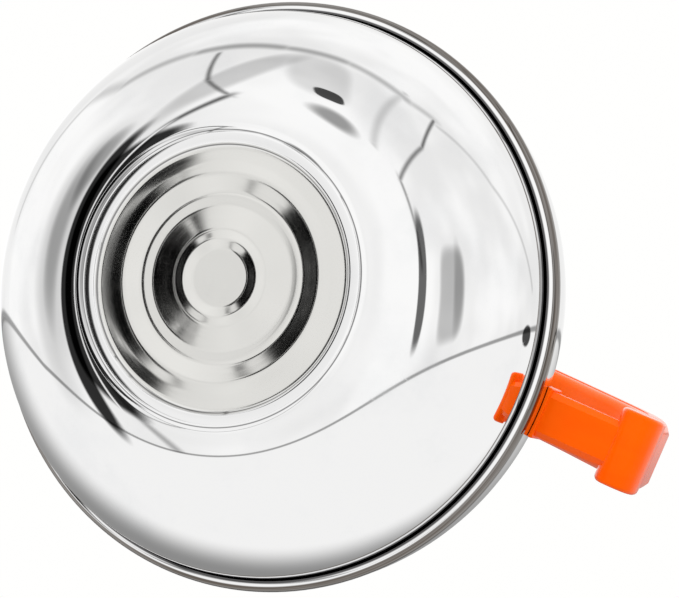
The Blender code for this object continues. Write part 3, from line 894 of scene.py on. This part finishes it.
# small fittings keep their own mesh and get a material
keptNodes = {
    satinSteel: (
        "satin_steel",
        (
            "front_bracket", "front_screw_left", "front_screw_right", "handle_dowel_left",
            "handle_dowel_right", "knob_screw", "knob_washer", "lever_pin", "lever_spring",
            "liner_screw_front", "liner_screw_rear", "rear_rivet_left", "rear_rivet_right",
            "cap_rivet_left", "cap_rivet_right", "whistle_plate",
        ),
    ),
    greySilicone: ("grey_silicone", ("whistle_gasket",)),
}
for material, (slotName, names) in keptNodes.items():
    for name in names:
        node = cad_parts[name]
        node.data.materials.clear()
        node.data.materials.append(material)
print("kept nodes painted")


floor = {"size": 12.0, "drop": 0.1 * mm, "colour": (0.66, 0.66, 0.65, 1)}


def makeFloor():
    clearSelection()
    bpy.ops.mesh.primitive_plane_add(size=floor["size"], location=(0, 0, -floor["drop"]))
    piece = bpy.context.object
    piece.name = "studioFloor"
    material = bpy.data.materials.new("studioFloor")
    material.use_nodes = True
    tree = material.node_tree
    shader = tree.nodes["Principled BSDF"]
    shader.inputs["Base Color"].default_value = floor["colour"]
    shader.inputs["Roughness"].default_value = 0.9
    # seen from below it isn't there, so that the base of the kettle shows
    clear = tree.nodes.new("ShaderNodeBsdfTransparent")
    back = tree.nodes.new("ShaderNodeNewGeometry")
    choose = tree.nodes.new("ShaderNodeMixShader")
    tree.links.new(back.outputs["Backfacing"], choose.inputs[0])
    tree.links.new(shader.outputs[0], choose.inputs[1])
    tree.links.new(clear.outputs[0], choose.inputs[2])
    tree.links.new(choose.outputs[0], tree.nodes["Material Output"].inputs[0])
    piece.data.materials.append(material)
    piece.visible_glossy = False
    piece.visible_diffuse = False
    piece.visible_shadow = False
    piece.visible_transmission = False


camera = {
    "place": (-311.2, 36.1, -725.8),
    "turn": (-173.51, -19.14, 155.36),  # degrees about X, Y and Z
    "focal": 116.64,
    "sensor": 36.0,
    "nearest": 10,
}
cameraTurn = Euler([math.radians(angle) for angle in camera["turn"]]).to_matrix()
toRight, toDown, toCamera = cameraTurn.col[0], -cameraTurn.col[1], cameraTurn.col[2]

# The steel mirrors a white light tent on a white table. A direction in the tent is two angles in degrees:
# how far it turns away from the camera, and how far it goes round the camera from its right side.
tent = {
    "strength": 1.1,
    "colour": (1.0, 0.998, 0.99, 1),
    "litSide": 1.75,
    "shadedSide": 0.55,
    "tableTilt": (0.018, 0.087),  # how the table's far edge leans, to the right and towards the camera
    "tableDrop": 0.14,
    "tableClimb": 0.085,  # behind on the left the edge climbs
    "tableShadow": {"direction": (150, 108), "start": 0.55, "darkness": 0.72},
    "darkShapes": (  # direction, half width and half height in degrees, darkness, softness, squareness
        ((54, 195), 7.4, 12.0, 0.97, 0.40, 4),
        ((60, 190), 4.6, 22.0, 0.97, 0.30, 2),
        ((76, 197), 6.5, 13.0, 0.42, 0.85, 2),
        ((72, 208), 5.0, 6.5, 0.50, 0.80, 2),
        ((76, 193), 13.0, 21.0, 0.30, 0.90, 2),
        ((13, 303), 2.9, 16.0, 0.86, 0.45, 3),
        ((31, 348), 9.5, 13.0, 0.42, 0.60, 4),
        ((36, 347), 3.6, 12.0, 0.38, 0.80, 2),
        ((72, 239), 4.6, 25.0, 0.34, 0.60, 2),
        ((70, 261), 8.0, 15.0, 0.24, 0.60, 3),
        ((58, 257), 3.9, 3.2, 0.92, 0.30, 3),
        ((47, 248), 5.6, 4.4, 0.66, 0.80, 2),
        ((111, 9), 6.5, 2.4, 0.93, 0.30, 2),
    ),
    # each fold of the cloth has its start, and then the end, half width and darkness of each stretch
    "leftFold": (
        (94, 244), (73, 233, 1.1, 0.75), (59, 228, 1.1, 0.7), (56, 212, 1.8, 0.85), (49, 190, 1.6, 0.55),
        (48, 166, 1.6, 0.5),
    ),
    "rightFold": ((79, 301), (56, 295, 1.2, 0.8), (34, 272, 1.3, 0.7), (16, 294, 1.6, 0.6)),
    "crossFold": ((41, 261), (83, 291, 2.2, 0.3)),
    "archFold": (
        (137, 196), (127, 223, 3.0, 0.28), (112, 226, 4.0, 0.3), (102, 241, 5.0, 0.4), (91, 259, 5.0, 0.55),
        (86, 274, 4.6, 0.52), (78, 292, 4.4, 0.45), (80, 301, 3.6, 0.35),
    ),
    "farFold": ((77, 302), (89, 328, 2.0, 0.25), (114, 358, 1.8, 0.28)),
    "lightGap": ((56, 212), (54, 197, 0.9, 0.95), (51, 176, 0.9, 0.95)),  # a slit that light comes through
}
foldNames = ("leftFold", "rightFold", "crossFold", "archFold", "farFold")


def tentDirection(direction):
    away, clock = [math.radians(angle) for angle in direction]
    side = toRight * math.cos(clock) + toDown * math.sin(clock)
    return side * math.sin(away) + toCamera * math.cos(away)


def stretches(fold):
    # the two ends, half width and darkness of each stretch of a fold
    start = fold[0]
    for away, clock, halfWidth, darkness in fold[1:]:
        yield start, (away, clock), halfWidth, darkness
        start = (away, clock)


def dotWith(tree, direction, vector):
    node = tree.nodes.new("ShaderNodeVectorMath")
    node.operation = "DOT_PRODUCT"
    tree.links.new(direction, node.inputs[0])
    node.inputs[1].default_value = vector
    return node.outputs["Value"]


def foldLine(tree, towards, first, second, halfWidth, strength):
    # a soft line along the great circle from one direction to the other
    start, end = tentDirection(first), tentDirection(second)
    across = start.cross(end).normalized()
    off = maths(tree, "ABSOLUTE", dotWith(tree, towards, across))
    line = remap(tree, off, 0.0, math.sin(math.radians(halfWidth)), strength, 0.0)
    middle = (start + end).normalized()
    beyond = maths(tree, "SUBTRACT", dotWith(tree, towards, middle), middle.dot(start))
    return maths(tree, "MULTIPLY", line, remap(tree, beyond, -0.010, 0.004, 0.0, 1.0))


def makeSurroundings():
    world = bpy.data.worlds.new("lightTent")
    bpy.context.scene.world = world
    world.use_nodes = True
    tree = world.node_tree
    tree.nodes.clear()
    towards = tree.nodes.new("ShaderNodeTexCoord").outputs["Generated"]
    right = dotWith(tree, towards, toRight)
    down = dotWith(tree, towards, toDown)
    near = dotWith(tree, towards, toCamera)
    # height under the line where the cloth meets the table
    tiltRight, tiltNear = tent["tableTilt"]
    under = maths(tree, "SUBTRACT", down, maths(tree, "MULTIPLY", near, tiltNear))
    under = maths(tree, "SUBTRACT", under, maths(tree, "MULTIPLY", right, tiltRight))
    under = maths(tree, "SUBTRACT", under, tent["tableDrop"])
    behind = maths(tree, "MULTIPLY", maths(tree, "MINIMUM", near, 0.0), maths(tree, "MINIMUM", right, 0.0))
    under = maths(tree, "ADD", under, maths(tree, "MULTIPLY", behind, tent["tableClimb"]))
    onTable = remap(tree, under, 0.0, 0.01, 0.0, 1.0)
    light = remap(tree, under, -0.02, 0.02, 1.0, 0.97, "LINEAR")
    # the cloth's own soft clouds
    clouds = noise(tree, towards, 1.6, 2.0)
    cloudy = remap(tree, clouds, 0.35, 0.65, 0.88, 1.04)
    cloudy = maths(tree, "MULTIPLY", cloudy, maths(tree, "SUBTRACT", 1.0, onTable))
    light = maths(tree, "MULTIPLY", light, maths(tree, "ADD", cloudy, onTable))
    patch = tent["tableShadow"]
    shadow = dotWith(tree, towards, tentDirection(patch["direction"]))
    shadow = remap(tree, shadow, patch["start"], 1.0, 0.0, patch["darkness"])
    shadow = maths(tree, "MULTIPLY", shadow, onTable)
    light = maths(tree, "MULTIPLY", light, maths(tree, "SUBTRACT", 1.0, shadow))
    edge = remap(tree, maths(tree, "ABSOLUTE", under), 0.004, 0.016, 0.62, 0.0)
    light = maths(tree, "MULTIPLY", light, maths(tree, "SUBTRACT", 1.0, edge))
    inside = maths(tree, "SUBTRACT", 1.0, onTable)
    for place, halfWidth, halfHeight, darkness, softness, squareness in tent["darkShapes"]:
        middle = tentDirection(place)
        side = toDown.cross(middle).normalized()
        upright = middle.cross(side).normalized()
        across = maths(tree, "DIVIDE", dotWith(tree, towards, side), math.sin(math.radians(halfWidth)))
        along = maths(tree, "DIVIDE", dotWith(tree, towards, upright), math.sin(math.radians(halfHeight)))
        facing = maths(tree, "GREATER_THAN", dotWith(tree, towards, middle), 0.2)
        across = maths(tree, "POWER", maths(tree, "ABSOLUTE", across), squareness)
        far = maths(tree, "ADD", across, maths(tree, "POWER", maths(tree, "ABSOLUTE", along), squareness))
        dark = remap(tree, far, 1.0 + softness, 1.0 - softness, 0.0, darkness)
        dark = maths(tree, "MULTIPLY", dark, facing)
        light = maths(tree, "MULTIPLY", light, maths(tree, "SUBTRACT", 1.0, dark))
    folds = None
    for name in foldNames:
        for first, second, halfWidth, darkness in stretches(tent[name]):
            dark = foldLine(tree, towards, first, second, halfWidth, darkness)
            folds = dark if folds is None else maths(tree, "MAXIMUM", folds, dark)
    folds = maths(tree, "MULTIPLY", folds, inside)
    light = maths(tree, "MULTIPLY", light, maths(tree, "SUBTRACT", 1.0, folds))
    for first, second, halfWidth, brightness in stretches(tent["lightGap"]):
        line = foldLine(tree, towards, first, second, halfWidth, 1.0)
        light = maths(tree, "MAXIMUM", light, maths(tree, "MULTIPLY", line, brightness))
    light = maths(tree, "MULTIPLY", light, tent["strength"])
    # dull surfaces are lit more from one side
    slanted = remap(tree, down, -0.9, 0.9, tent["litSide"], tent["shadedSide"], "LINEAR")
    paths = tree.nodes.new("ShaderNodeLightPath")
    soft = paths.outputs["Is Diffuse Ray"]
    hard = maths(tree, "MULTIPLY", light, maths(tree, "SUBTRACT", 1.0, soft))
    light = maths(tree, "ADD", hard, maths(tree, "MULTIPLY", soft, slanted))
    # the camera itself sees plain white behind the kettle
    seen = paths.outputs["Is Camera Ray"]
    light = maths(tree, "ADD", maths(tree, "MULTIPLY", light, maths(tree, "SUBTRACT", 1.0, seen)), seen)
    glow = tree.nodes.new("ShaderNodeBackground")
    glow.inputs["Color"].default_value = tent["colour"]
    tree.links.new(light, glow.inputs["Strength"])
    out = tree.nodes.new("ShaderNodeOutputWorld")
    tree.links.new(glow.outputs[0], out.inputs[0])


lights = {
    "keyLight": {"place": (0.5, 1.2, 0.7), "size": 1.2, "power": 4.0},
    "topLight": {"place": (-0.3, -0.3, 1.5), "size": 1.5, "power": 4.0},
}


def makeLight(name, light):
    clearSelection()
    bpy.ops.object.light_add(type="AREA", location=light["place"])
    lamp = bpy.context.object
    lamp.name = name
    lamp.data.size = light["size"]
    lamp.data.energy = light["power"]
    lamp.rotation_euler = (-Vector(light["place"])).to_track_quat("-Z", "Y").to_euler()
    lamp.visible_glossy = False
    lamp.visible_camera = False


def makeCamera():
    clearSelection()
    bpy.ops.object.camera_add(location=Vector(camera["place"]) * mm)
    eye = bpy.context.object
    eye.name = "camera"
    eye.data.lens = camera["focal"]
    eye.data.sensor_width = camera["sensor"]
    eye.data.clip_start = camera["nearest"] * mm
    eye.rotation_euler = cameraTurn.to_euler()
    bpy.context.scene.camera = eye


makeFloor()
makeSurroundings()
for lightName, light in lights.items():
    makeLight(lightName, light)
makeCamera()
bpy.context.scene.view_settings.view_transform = "Standard"
print("studio made")
